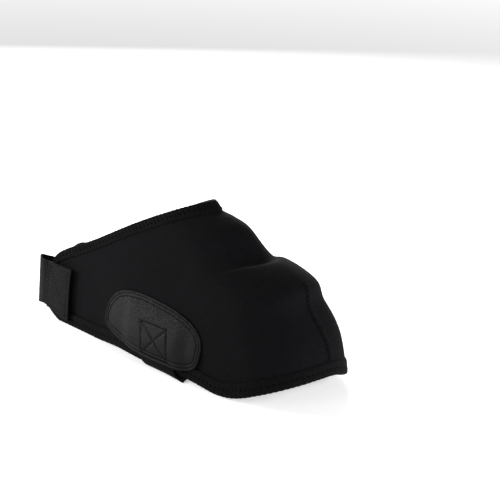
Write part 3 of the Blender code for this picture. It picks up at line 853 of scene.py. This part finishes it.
def tape_stations(edge_v):
    """Return the a of stations spaced evenly along an edge, from one rear end to the other."""
    a = np.linspace(-1.0, 1.0, 800)
    points = surface(a, np.full(len(a), edge_v))
    length = steps_of(points[:, None], 0)[:, 0]
    count = round(length[-1] / TAPE_STATION)
    even = np.linspace(0.0, length[-1], count + 1)
    return np.interp(even, length, a), even


def tape_relief(along, from_edge, width, row, pitch, rib):
    """Return the relief of a sewn tape: two soft welts, the stitch row between them and its pinholes."""
    share = from_edge / width
    welts = 0.0003 * np.sin(np.pi * np.clip(share / row, 0, 1)) ** 2
    welts = welts + 0.0002 * np.sin(np.pi * np.clip((share - row) / (1 - row), 0, 1)) ** 2
    across = (from_edge - row * width) / 0.0007
    phase = (along / pitch - 0.5) % 1.0 - 0.5
    holes = bell(phase * pitch / 0.0006) * bell(across * 0.9)
    grooves = bell(phase * pitch / (pitch * 0.22)) * soft_step((row * 1.25 - share) / 0.25)
    return welts - 0.00015 * bell(across) - 0.0007 * holes - rib * grooves


def add_tape(name, edge_v, widths, row, pitch, rib, material, floor=None):
    """A tape folded over an edge of the neoprene and sewn through in one row."""
    a, along = tape_stations(edge_v)
    width = widths(a)
    flipped = edge_v < 0.5
    leg = 1.0 - rounded_shares(16, HEM_TAPE)[:-4]
    leg = np.concatenate([leg, [0.0]])
    from_edge = width[:, None] * leg
    leg_v = v_from_edge(a, from_edge, edge_v)
    relief = tape_relief(along[:, None], from_edge, width[:, None], row, pitch, rib)
    columns = [raised(a[:, None], leg_v, GAP + TAPE / 2 + relief)]
    edge = np.full(len(a), edge_v)
    past = unit(slopes_of(a, edge)[1] * (-1.0 if flipped else 1.0))
    away = outward(a, edge)
    base = surface(a, edge)
    half_height = WALL / 2 + GAP + TAPE / 2
    depth = GAP + TAPE_ROUND + TAPE / 2
    phase = (along / pitch - 0.5) % 1.0 - 0.5
    notch = 1.0 - 0.25 * (rib / 0.0002) * bell(phase / 0.22)
    for turn in np.radians(np.arange(15, 180, 15)):
        reach = depth * np.sin(turn) * notch
        height = -WALL / 2 + half_height * np.cos(turn)
        columns.append((base + past * reach[:, None] + away * height)[:, None])
    back = np.array([0.0, 0.25, 0.5, 0.75, 0.95, 0.985, 1.0])
    back_v = v_from_edge(a, width[:, None] * back, edge_v)
    columns.append(raised(a[:, None], back_v, -WALL - GAP - TAPE / 2))
    middle = np.concatenate(columns, axis=1)
    across = steps_of(middle, 1)
    ends = np.minimum(across, across[:, -1:] - across)
    half = TAPE / 2 * round_edge(ends, 0.0007)
    half[0], half[-1] = 0.0, 0.0
    share_of_width = (across[:, len(leg) - 1][:, None] - across) / width[:, None]
    lengths = np.stack([along[:, None] + 0.0 * across, share_of_width * HEM_TAPE], axis=-1).reshape(-1, 2)
    tape = add_slab(name, middle, half, material, flipped, uv=lengths, floor=floor)
    row_v = v_from_edge(a, (width * row)[:, None], edge_v)[:, 0]
    seam = raised(a, row_v, GAP + TAPE)
    return tape, stitch_row(seam, outward(a, row_v), pitch, 0.0, 0.7, along=along)


def collar_widths(a):
    return COLLAR_TAPE_REAR + (COLLAR_TAPE_THROAT - COLLAR_TAPE_REAR) * (1.0 - np.abs(a))


def add_collar_tape(material, thread):
    tape, stitches = add_tape("collar_tape", 0.0, collar_widths, COLLAR_ROW, COLLAR_PITCH, 0.00040, material)
    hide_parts("collar_binding")
    add_threads("collar_stitches", [stitches], THREAD, thread)


def add_hem_tape(material, thread):
    widths = lambda a: np.full(len(a), HEM_TAPE)
    tape, stitches = add_tape("hem_tape", 1.0, widths, HEM_ROW, HEM_PITCH, 0.0002, material, 0.0)
    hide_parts("hem_binding")
    add_threads("hem_stitches", [stitches], THREAD, thread, 0.0)


def add_toe_seam(material, thread):
    """The flat seam of the toe's dart: a welt with two rows of pinholes and threads crossing between."""
    bottom = v_from_edge(np.zeros(1), np.full((1, 1), HEM_TAPE + 2 * GAP), 1.0)[0, 0]
    v = np.linspace(SEAM_TOP, bottom, 240)
    around = np.linalg.norm(slopes_of(np.zeros_like(v), v)[0], axis=-1)
    share = rounded_shares(15, SEAM_WIDTH) * 2 - 1
    a = (SEAM_WIDTH / 2 / around)[:, None] * share
    flat = raised(a, v[:, None], 0.0)
    down = steps_of(flat, 0).mean(axis=1)
    relief = 0.0001 * np.cos(np.pi / 2 * share) + np.zeros((len(v), 1))
    for side in (-1, 1):
        shift = 0.0 if side < 0 else 0.5
        phase = (down / SEAM_PITCH + shift) % 1.0 - 0.5
        beside = (share - side * SEAM_ROW) * SEAM_WIDTH / 2
        hole = bell(phase * SEAM_PITCH / 0.0008)[:, None] * bell(beside / 0.0008)
        relief = relief - 0.0008 * hole
    rounded = round_edge(border_distance(raised(a, v[:, None], GAP)), 0.0016)
    half = (SEAM_THICKNESS / 2 * rounded).T
    middle = raised(a, v[:, None], GAP * rounded + half.T + relief).transpose(1, 0, 2)
    across = (share + 1) * SEAM_WIDTH / 2
    lengths = np.stack(np.broadcast_arrays(across[:, None], down[None, :]), axis=-1).reshape(-1, 2)
    seam = add_slab("toe_flat_seam", middle, half, material, uv=lengths)
    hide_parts("toe_seam")
    count = int(down[-1] / SEAM_PITCH) - 1
    left_at = (np.arange(count) + 0.5) * SEAM_PITCH
    right_at = left_at + 0.5 * SEAM_PITCH

    def places(distance, side, height):
        where = np.interp(distance, down, v)
        reach = np.interp(distance, down, SEAM_WIDTH / 2 / around) * SEAM_ROW * side
        return raised(reach, where, height), outward(reach, where)

    lift = GAP + SEAM_THICKNESS + 0.0001
    left, lean = places(left_at, -1, lift)
    right, _ = places(right_at, 1, lift)
    next_left, _ = places(left_at + SEAM_PITCH, -1, lift)
    rows = [zigzag_row(left, right, lean, 0.0001), zigzag_row(right, next_left, lean, 0.0001)]
    add_threads("toe_seam_threads", rows, THREAD, thread)


def patch_place(rows, along_share, down_share):
    """Return x and z of places on a patch from its shares along and down."""
    along, low, high = smooth(rows)(along_share).T
    x = (PATCH_FRONT - PATCH_LENGTH * (1.0 - along))[:, None] + 0.0 * down_share
    z = PATCH_LIFT + PATCH_HEIGHT * (high[:, None] + (low - high)[:, None] * down_share)
    return x, z


def patch_outline(rows):
    """Return a patch's outline in x and z as a closed loop, clockwise from the rear end of its top."""
    share = np.linspace(0.0, 1.0, 260)
    x, z = patch_place(rows, share, np.array([0.0, 1.0]))
    sides = np.linspace(0.0, 1.0, 24)[1:-1]
    front = np.column_stack([np.full(len(sides), x[-1, 0]), z[-1, 0] + (z[-1, 1] - z[-1, 0]) * sides])
    rear = np.column_stack([np.full(len(sides), x[0, 0]), z[0, 1] + (z[0, 0] - z[0, 1]) * sides])
    top = np.column_stack([x[:, 0], z[:, 0]])
    bottom = np.column_stack([x[:, 1], z[:, 1]])[::-1]
    return np.vstack([top, front, bottom, rear])


def from_outline(points, loop):
    """Return the distance in the x-z plane of points from a closed loop."""
    starts = loop
    spans = np.roll(loop, -1, axis=0) - loop
    lengths = np.maximum((spans**2).sum(axis=1), 1e-18)
    offset = points[..., None, :] - starts
    q = np.clip((offset * spans).sum(axis=-1) / lengths, 0.0, 1.0)
    return np.linalg.norm(offset - q[..., None] * spans, axis=-1).min(axis=-1)


def inset(loop, distance):
    """Return the loop moved inwards by a distance."""
    ahead = np.roll(loop, -1, axis=0) - np.roll(loop, 1, axis=0)
    ahead = unit(ahead + 1e-12)
    moved = loop + np.column_stack([ahead[:, 1], -ahead[:, 0]]) * distance
    clear = from_outline(moved, loop) > distance * 0.98
    return moved[clear]


def pinholes(line, pitch, closed):
    """Return the places in x and z where the stitches of a line pierce the cloth."""
    flat = np.column_stack([line, np.zeros(len(line))])
    at, length, count = resampled(flat, np.ones_like(flat), pitch, closed)
    return at(np.arange(count + (not closed)) * length / count)[0][:, :2]


def nearest_to(points, places):
    """Return the distance of each point of a grid from the nearest of the places."""
    nearest = np.full(points.shape[:-1], 1.0)
    for place in places:
        nearest = np.minimum(nearest, np.linalg.norm(points - place, axis=-1))
    return nearest


def add_patch(name, node, rows, side, box, lean, material, thread):
    """A grained patch over the hem's tape and the webbing's end, sewn round twice and boxed on the webbing."""
    loop = patch_outline(rows)
    down_share = rounded_shares(PATCH_ROWS, PATCH_HEIGHT)
    along_share = rounded_shares(PATCH_COLUMNS, PATCH_LENGTH)
    x, z = patch_place(rows, along_share, down_share)
    a, v = place_on_side(x, z, side)
    base = GAP + over_hem_tape(a, v, PATCH_FALL) + over_webbing(x, z, side)
    distance = from_outline(np.stack([x, z], axis=-1), loop)
    line_one, line_two = 0.0020, 0.0048
    relief = -0.00032 * bell((distance - line_one) / 0.0007) - 0.00032 * bell((distance - line_two) / 0.0007)
    puff = 0.0003 * soft_step((distance - line_two) / 0.006)
    cross = box_lines(box, lean)
    box_distance = np.min([from_outline(np.stack([x, z], axis=-1), line) for line in cross], axis=0)
    relief = relief - (0.0003 + puff * 0.7) * bell(box_distance / 0.0009)
    pierced = [pinholes(inset(loop, line_one), PATCH_PITCH, True), pinholes(inset(loop, line_two), PATCH_PITCH, True)]
    pierced += [pinholes(line, BOX_PITCH, False) for line in cross]
    hole = nearest_to(np.stack([x, z], axis=-1), np.vstack(pierced))
    relief = relief - 0.0004 * bell(hole / 0.0007)
    half = PATCH_THICKNESS / 2 * round_edge(distance, 0.0008)
    middle = raised(a, v, base + half + relief + puff)
    half[0], half[-1] = 0.0, 0.0
    half[:, 0], half[:, -1] = 0.0, 0.0
    lengths = np.stack([x, z], axis=-1).reshape(-1, 2)
    patch = add_slab(name, middle, half, material, side > 0, uv=lengths)
    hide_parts(node)

    def sewn(line, pitch, closed, sink):
        on_a, on_v = place_on_side(line[:, 0], line[:, 1], side)
        height = GAP + over_hem_tape(on_a, on_v, PATCH_FALL) + over_webbing(line[:, 0], line[:, 1], side)
        points = raised(on_a, on_v, height + PATCH_THICKNESS - sink)
        return stitch_row(points, outward(on_a, on_v), pitch, 0.0001, 0.72, closed)

    stitched = [sewn(inset(loop, line_one), PATCH_PITCH, True, 0.0001)]
    stitched.append(sewn(inset(loop, line_two), PATCH_PITCH, True, 0.0001))
    for line in cross:
        fine = np.stack([np.linspace(line[0, k], line[1, k], 30) for k in range(2)], axis=1)
        stitched.append(sewn(fine, BOX_PITCH, False, -0.00005))
    add_threads(name + "_stitches", stitched, THREAD, thread)


def box_lines(box, lean=0.0):
    """Return the four sides and two diagonals of a box in x and z, whose foot leans forward."""
    low_x, high_x, low_z, high_z = box
    corners = np.array([(low_x + lean, low_z), (high_x + lean, low_z), (high_x, high_z), (low_x, high_z)])
    pairs = [(0, 1), (1, 2), (2, 3), (3, 0), (0, 2), (1, 3)]
    return [corners[list(pair)] for pair in pairs]


def add_underfoot_webbing(material):
    """Webbing from behind one patch, over the hem's tape and under the foot to the other patch."""
    share = rounded_shares(30, UNDER_WIDTH)
    across = UNDER_WIDTH * (share - 0.5)
    heights = np.linspace(UNDER_TOP, UNDER_BEND, 50)
    halves = {}
    for side in (OUTER_SIDE, INNER_SIDE):
        x = across[:, None] + webbing_middle(heights, side)
        a, v = place_on_side(x, heights + 0.0 * x, side)
        wall = raised(a, v, GAP + over_hem_tape(a, v) + UNDER_THICKNESS)
        wall[..., 0] = x
        wall[:, -1, 2] = UNDER_BEND
        foot = []
        for turn in np.radians(np.arange(10, 91, 10)):
            lower = wall[:, -1] + (0.0, side * UNDER_BEND * (np.cos(turn) - 1), -UNDER_BEND * np.sin(turn))
            lower[:, 0] = across + webbing_middle(lower[:, 2], side)
            foot.append(lower)
        halves[side] = np.concatenate([wall, np.stack(foot, axis=1)], axis=1)
    outer, inner = halves[OUTER_SIDE], halves[INNER_SIDE]
    below_patch = np.clip(1.0 - outer[..., 2] / PATCH_LIFT, 0.0, 1.0)
    sticks_out = UNDER_CORNER * share[:, None] ** 3 * below_patch**2
    outer = outer + sticks_out[..., None] * (1.0, -1.0, 0.0)
    under = np.linspace(0.0, 1.0, 42)[1:-1]
    flat = outer[:, -1:] + (inner[:, -1:] - outer[:, -1:]) * under[None, :, None]
    top = np.concatenate([outer, flat, inner[:, ::-1]], axis=1)
    middle = top - grid_away(top, False) * UNDER_THICKNESS / 2
    half = UNDER_THICKNESS / 2 * round_edge(border_distance(middle), 0.0008)
    grid = middle.transpose(1, 0, 2)
    piece = add_slab("underfoot_webbing", grid, half.T, material, True, floor=0.0)
    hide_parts("underfoot_strap")


def strap_rows_on_side(x, seat, side):
    """Return the rows of the heel strap where it lies on the neoprene, one for each x."""
    share = np.linspace(0.0, 1.0, STRAP_ROWS + 1)
    forward = np.clip((x - LOOP_DEPTH) / STRAP_SEWN, 0.0, 1.0)
    low = STRAP_LIFT + STRAP_WIDTH * (0.19 - 0.12 * forward)
    high = STRAP_LIFT + STRAP_WIDTH
    z = high + (low - high)[:, None] * share
    a, v = place_on_side(x[:, None] + 0.0 * z, z, side)
    return raised(a, v, seat)


def loop_rows(side, out):
    """Return the rows of the free loop on one side, from the side to just before the middle."""
    share = np.linspace(0.0, 1.0, STRAP_ROWS + 1)[None, :, None]
    size = (LOOP_DEPTH, out, STRAP_WIDTH)
    low = np.array(LOOP_LOW_EDGE) * size
    high = np.array(LOOP_HIGH_EDGE) * size
    rows = high[:, None] + (low - high)[:, None] * share
    rows = rows + (STRAP_THICKNESS, 0.0, STRAP_LIFT)
    return rows * (1.0, side, 1.0)


def strap_curve():
    """Return the smooth path of the heel strap's inner face."""
    first = LOOP_DEPTH + STRAP_START
    outer_seat = TAPE_STAND + GAP
    inner_seat = max(TAPE_STAND, GAP + PAD_THICKNESS) + GAP
    outer_x = np.linspace(LOOP_DEPTH + TAB_LENGTH, first, 5)
    inner_x = np.linspace(first, LOOP_DEPTH + STRAP_CLOSED, 6)
    outer_rows = strap_rows_on_side(outer_x, outer_seat, OUTER_SIDE)
    inner_rows = strap_rows_on_side(inner_x, inner_seat, INNER_SIDE)
    outer_loop = loop_rows(OUTER_SIDE, abs(outer_rows[-1, :, 1]).mean())
    inner_loop = loop_rows(INNER_SIDE, abs(inner_rows[0, :, 1]).mean())
    rows = np.concatenate([outer_rows, outer_loop, inner_loop[-2::-1], inner_rows])
    return smooth(rows)


def share_at_x(curve, x):
    """Return where the outer part of the strap's path crosses x."""
    share = np.linspace(0.0, 0.4, 200)
    path = curve(share)[:, STRAP_ROWS // 2, 0]
    return np.interp(-x, -path, share)


def edge_rows(points, width):
    """Return a grid's rows spaced closer at both edges of the webbing."""
    share = rounded_shares(34, width)
    even = np.linspace(0.0, 1.0, points.shape[1])
    index = np.clip(np.searchsorted(even, share, side="right") - 1, 0, len(even) - 2)
    q = ((share - even[index]) / (even[index + 1] - even[index]))[None, :, None]
    return points[:, index] * (1 - q) + points[:, index + 1] * q


def add_heel_webbing(material):
    curve = strap_curve()
    start = share_at_x(curve, LOOP_DEPTH + STRAP_SEWN)
    share = start + (1.0 - start) * rounded_shares(STRAP_STATIONS, 0.16)
    inside = edge_rows(curve(share), STRAP_WIDTH)
    middle = inside + grid_away(inside, True) * STRAP_THICKNESS / 2
    half = STRAP_THICKNESS / 2 * round_edge(border_distance(middle), 0.0008)
    strap = add_slab("heel_webbing", middle, half, material, True, floor=0.0)
    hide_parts("heel_strap")


def add_tab(material, thread):
    """The second layer of webbing over the sewn end of the heel strap, sewn with a box and a cross."""
    curve = strap_curve()
    end = share_at_x(curve, LOOP_DEPTH - TAB_OVERHANG)
    share = end * rounded_shares(60, TAB_LENGTH)
    inside = edge_rows(curve(share), STRAP_WIDTH)
    away = grid_away(inside, True)
    along = steps_of(inside, 0)
    across = steps_of(inside, 1)
    ends = np.minimum(along, along[-1:] - along)
    edges = np.minimum(across, across[:, -1:] - across)
    margin = 0.0032
    frame_lines = bell((np.minimum(ends, edges) - margin) / 0.0008) * (np.minimum(ends, edges) < margin * 2)
    lift = STRAP_THICKNESS + GAP + TAB_THICKNESS / 2 - 0.0003 * frame_lines
    middle = inside + away * lift[..., None]
    half = TAB_THICKNESS / 2 * round_edge(border_distance(middle), 0.0008)
    tab = add_slab("tab_webbing", middle, half, material, True)
    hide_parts("strap_tab")
    top = middle + away * TAB_THICKNESS / 2
    long_way = along.mean(axis=1)
    wide_way = across.mean(axis=0)
    low_i, high_i = margin, long_way[-1] - margin
    low_j, high_j = margin, wide_way[-1] - margin
    rows = []
    for line in box_lines((low_i, high_i, low_j, high_j)):
        share = np.linspace(0.0, 1.0, 24)[:, None]
        places = line[0] + (line[1] - line[0]) * share
        i = np.interp(places[:, 0], long_way, np.arange(len(long_way)))
        j = np.interp(places[:, 1], wide_way, np.arange(len(wide_way)))
        rows.append(stitch_row(grid_at(top, i, j), grid_at(away, i, j), BOX_PITCH, 0.00015, 0.75))
    add_threads("tab_stitches", rows, THREAD, thread)


def grid_at(grid, i, j):
    """Return a grid's values at fractional places."""
    low_i = np.clip(np.floor(i).astype(int), 0, grid.shape[0] - 2)
    low_j = np.clip(np.floor(j).astype(int), 0, grid.shape[1] - 2)
    p, q = (i - low_i)[:, None], (j - low_j)[:, None]
    near = grid[low_i, low_j] * (1 - q) + grid[low_i, low_j + 1] * q
    far = grid[low_i + 1, low_j] * (1 - q) + grid[low_i + 1, low_j + 1] * q
    return near * (1 - p) + far * p


def add_loop_pad(material):
    """The pad on the inner side that the heel strap closes on."""
    front = LOOP_DEPTH + STRAP_CLOSED + PAD_SHOWS
    rear = LOOP_DEPTH + STRAP_START
    x = rear + (front - rear) * rounded_shares(50, front - rear)
    hem = surface(np.linspace(1.0, 0.5, 200), 1.0)
    low = np.interp(x, hem[:, 0], hem[:, 2]) + HEM_TAPE + PAD_CLEARANCE
    high = STRAP_LIFT + STRAP_WIDTH * 0.92
    z = high + (low - high)[:, None] * rounded_shares(30, 0.03)
    a, v = place_on_side(x[:, None] + 0.0 * z, z, INNER_SIDE)
    middle = raised(a, v, GAP + PAD_THICKNESS / 2)
    half = PAD_THICKNESS / 2 * round_edge(border_distance(middle), 0.0006)
    pad = add_slab("loop_pile_pad", middle, half, material, True)
    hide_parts("loop_pad")


# Studio

def add_floor():
    size = 6.0
    mesh = bpy.data.meshes.new("studio_floor")
    corners = [(-size, -size, 0.0), (size, -size, 0.0), (size, size, 0.0), (-size, size, 0.0)]
    mesh.from_pydata(corners, [], [(0, 1, 2, 3)])
    material = bpy.data.materials.new("studio_floor")
    material.use_nodes = True
    shader = material.node_tree.nodes["Principled BSDF"]
    shader.inputs["Base Color"].default_value = (0.90, 0.90, 0.90, 1.0)
    shader.inputs["Roughness"].default_value = 0.9
    shader.inputs["Emission Color"].default_value = (1.0, 1.0, 1.0, 1.0)
    tree = material.node_tree
    place = add_node(tree, "ShaderNodeTexCoord").outputs["Object"]
    away = add_node(tree, "ShaderNodeVectorMath", {0: place}, operation="LENGTH").outputs["Value"]
    glow = add_node(tree, "ShaderNodeMapRange", {0: away, 1: 0.8, 2: 2.4, 3: 0.45, 4: 0.90}).outputs[0]
    tree.links.new(glow, shader.inputs["Emission Strength"])
    mesh.materials.append(material)
    floor = bpy.data.objects.new("studio_floor", mesh)
    bpy.context.scene.collection.objects.link(floor)


def add_light(name, place, size, power):
    """Add a square light that faces the cover."""
    data = bpy.data.lights.new(name, "AREA")
    data.size = size
    data.energy = power
    light = bpy.data.objects.new(name, data)
    light.location = place
    aim = Vector((0.0, 0.0, 0.05)) - Vector(place)
    light.rotation_mode = "QUATERNION"
    light.rotation_quaternion = aim.to_track_quat("-Z", "Y")
    bpy.context.scene.collection.objects.link(light)


def add_studio():
    world = bpy.data.worlds.new("studio")
    world.use_nodes = True
    world.node_tree.nodes["Background"].inputs["Color"].default_value = (1.0, 1.0, 1.0, 1.0)
    world.node_tree.nodes["Background"].inputs["Strength"].default_value = 0.11
    bpy.context.scene.world = world
    bpy.context.scene.view_settings.view_transform = "Standard"
    add_floor()
    add_light("back_window", (-0.8, 0.7, 0.6), 0.7, 19.0)
    add_light("right_window", (1.2, 0.1, 0.4), 0.7, 17.0)
    add_light("near_window", (-0.1, -1.2, 0.5), 0.7, 3.5)
    add_light("rear_window", (-0.55, -0.35, 0.25), 0.3, 4.8)


def add_camera():
    """The photograph's own view, rolled a little as it is."""
    turn, tilt, roll = (math.radians(angle) for angle in (VIEW_AZIMUTH, VIEW_ELEVATION, VIEW_ROLL))
    forward = Vector((-math.sin(turn) * math.cos(tilt), math.cos(turn) * math.cos(tilt), -math.sin(tilt)))
    right = Vector((math.cos(turn), math.sin(turn), 0.0))
    up = right.cross(forward)
    level = Matrix((right, up, -forward)).transposed()
    data = bpy.data.cameras.new("camera")
    data.sensor_width = 36.0
    data.lens = VIEW_LENS
    camera = bpy.data.objects.new("camera", data)
    camera.rotation_mode = "QUATERNION"
    aside, above = (math.radians(angle) for angle in VIEW_TURNED)
    turned = Matrix.Rotation(roll, 3, "Z") @ Matrix.Rotation(-aside, 3, "Y") @ Matrix.Rotation(above, 3, "X")
    camera.rotation_quaternion = (level @ turned).to_quaternion()
    camera.location = Vector(VIEW_TARGET) - forward * VIEW_DISTANCE
    bpy.context.scene.collection.objects.link(camera)
    bpy.context.scene.camera = camera


def main():
    add_camera()
    add_studio()
    neoprene = make_neoprene("neoprene", (0.0032, 0.0032, 0.0038), (0.0048, 0.0048, 0.0055), 0.02)
    lining = make_neoprene("lining", (0.0040, 0.0040, 0.0046), (0.0064, 0.0064, 0.0072), 0.03)
    # rows of pinholes of the toe's seam, where its material paints shade
    seam_rows = [((1 - SEAM_ROW) * SEAM_WIDTH / 2, 0.0), ((1 + SEAM_ROW) * SEAM_WIDTH / 2, 0.5)]
    toe_seam = make_neoprene("toe_seam", (0.0032, 0.0032, 0.0038), (0.0048, 0.0048, 0.0055), 0.02, seam_rows)
    collar_tape = make_tape("collar_tape", COLLAR_ROW, COLLAR_PITCH)
    hem_tape = make_tape("hem_tape", HEM_ROW, HEM_PITCH)
    grain = make_grain("grain")
    # dark and light of each webbing: its painted shade in the valleys and painted light on the crests
    strap = make_webbing("webbing", 0.0018, 0.0022, False, (0.0004, 0.0004, 0.0005), (0.0022, 0.0022, 0.0025))
    tab = make_webbing("tab_webbing", 0.0018, 0.0016, True, (0.0018, 0.0018, 0.0020), (0.0125, 0.0125, 0.0137))
    thread = make_thread("thread", (0.0016, 0.0016, 0.0018))
    seam_thread = make_thread("seam_thread", (0.0022, 0.0022, 0.0025))
    loops = make_loops("loops")
    add_shell(neoprene, lining)
    add_collar_tape(collar_tape, thread)
    add_hem_tape(hem_tape, thread)
    add_toe_seam(toe_seam, seam_thread)
    outer_box = (0.154, 0.184, 0.010, 0.035)
    add_patch("patch_outer", "patch_lateral", OUTER_PATCH, OUTER_SIDE, outer_box, 0.007, grain, thread)
    inner_box = (0.150, 0.184, 0.012, 0.032)
    add_patch("patch_inner", "patch_medial", INNER_PATCH, INNER_SIDE, inner_box, 0.0, grain, thread)
    add_underfoot_webbing(strap)
    add_heel_webbing(strap)
    add_tab(tab, thread)
    add_loop_pad(loops)


main()
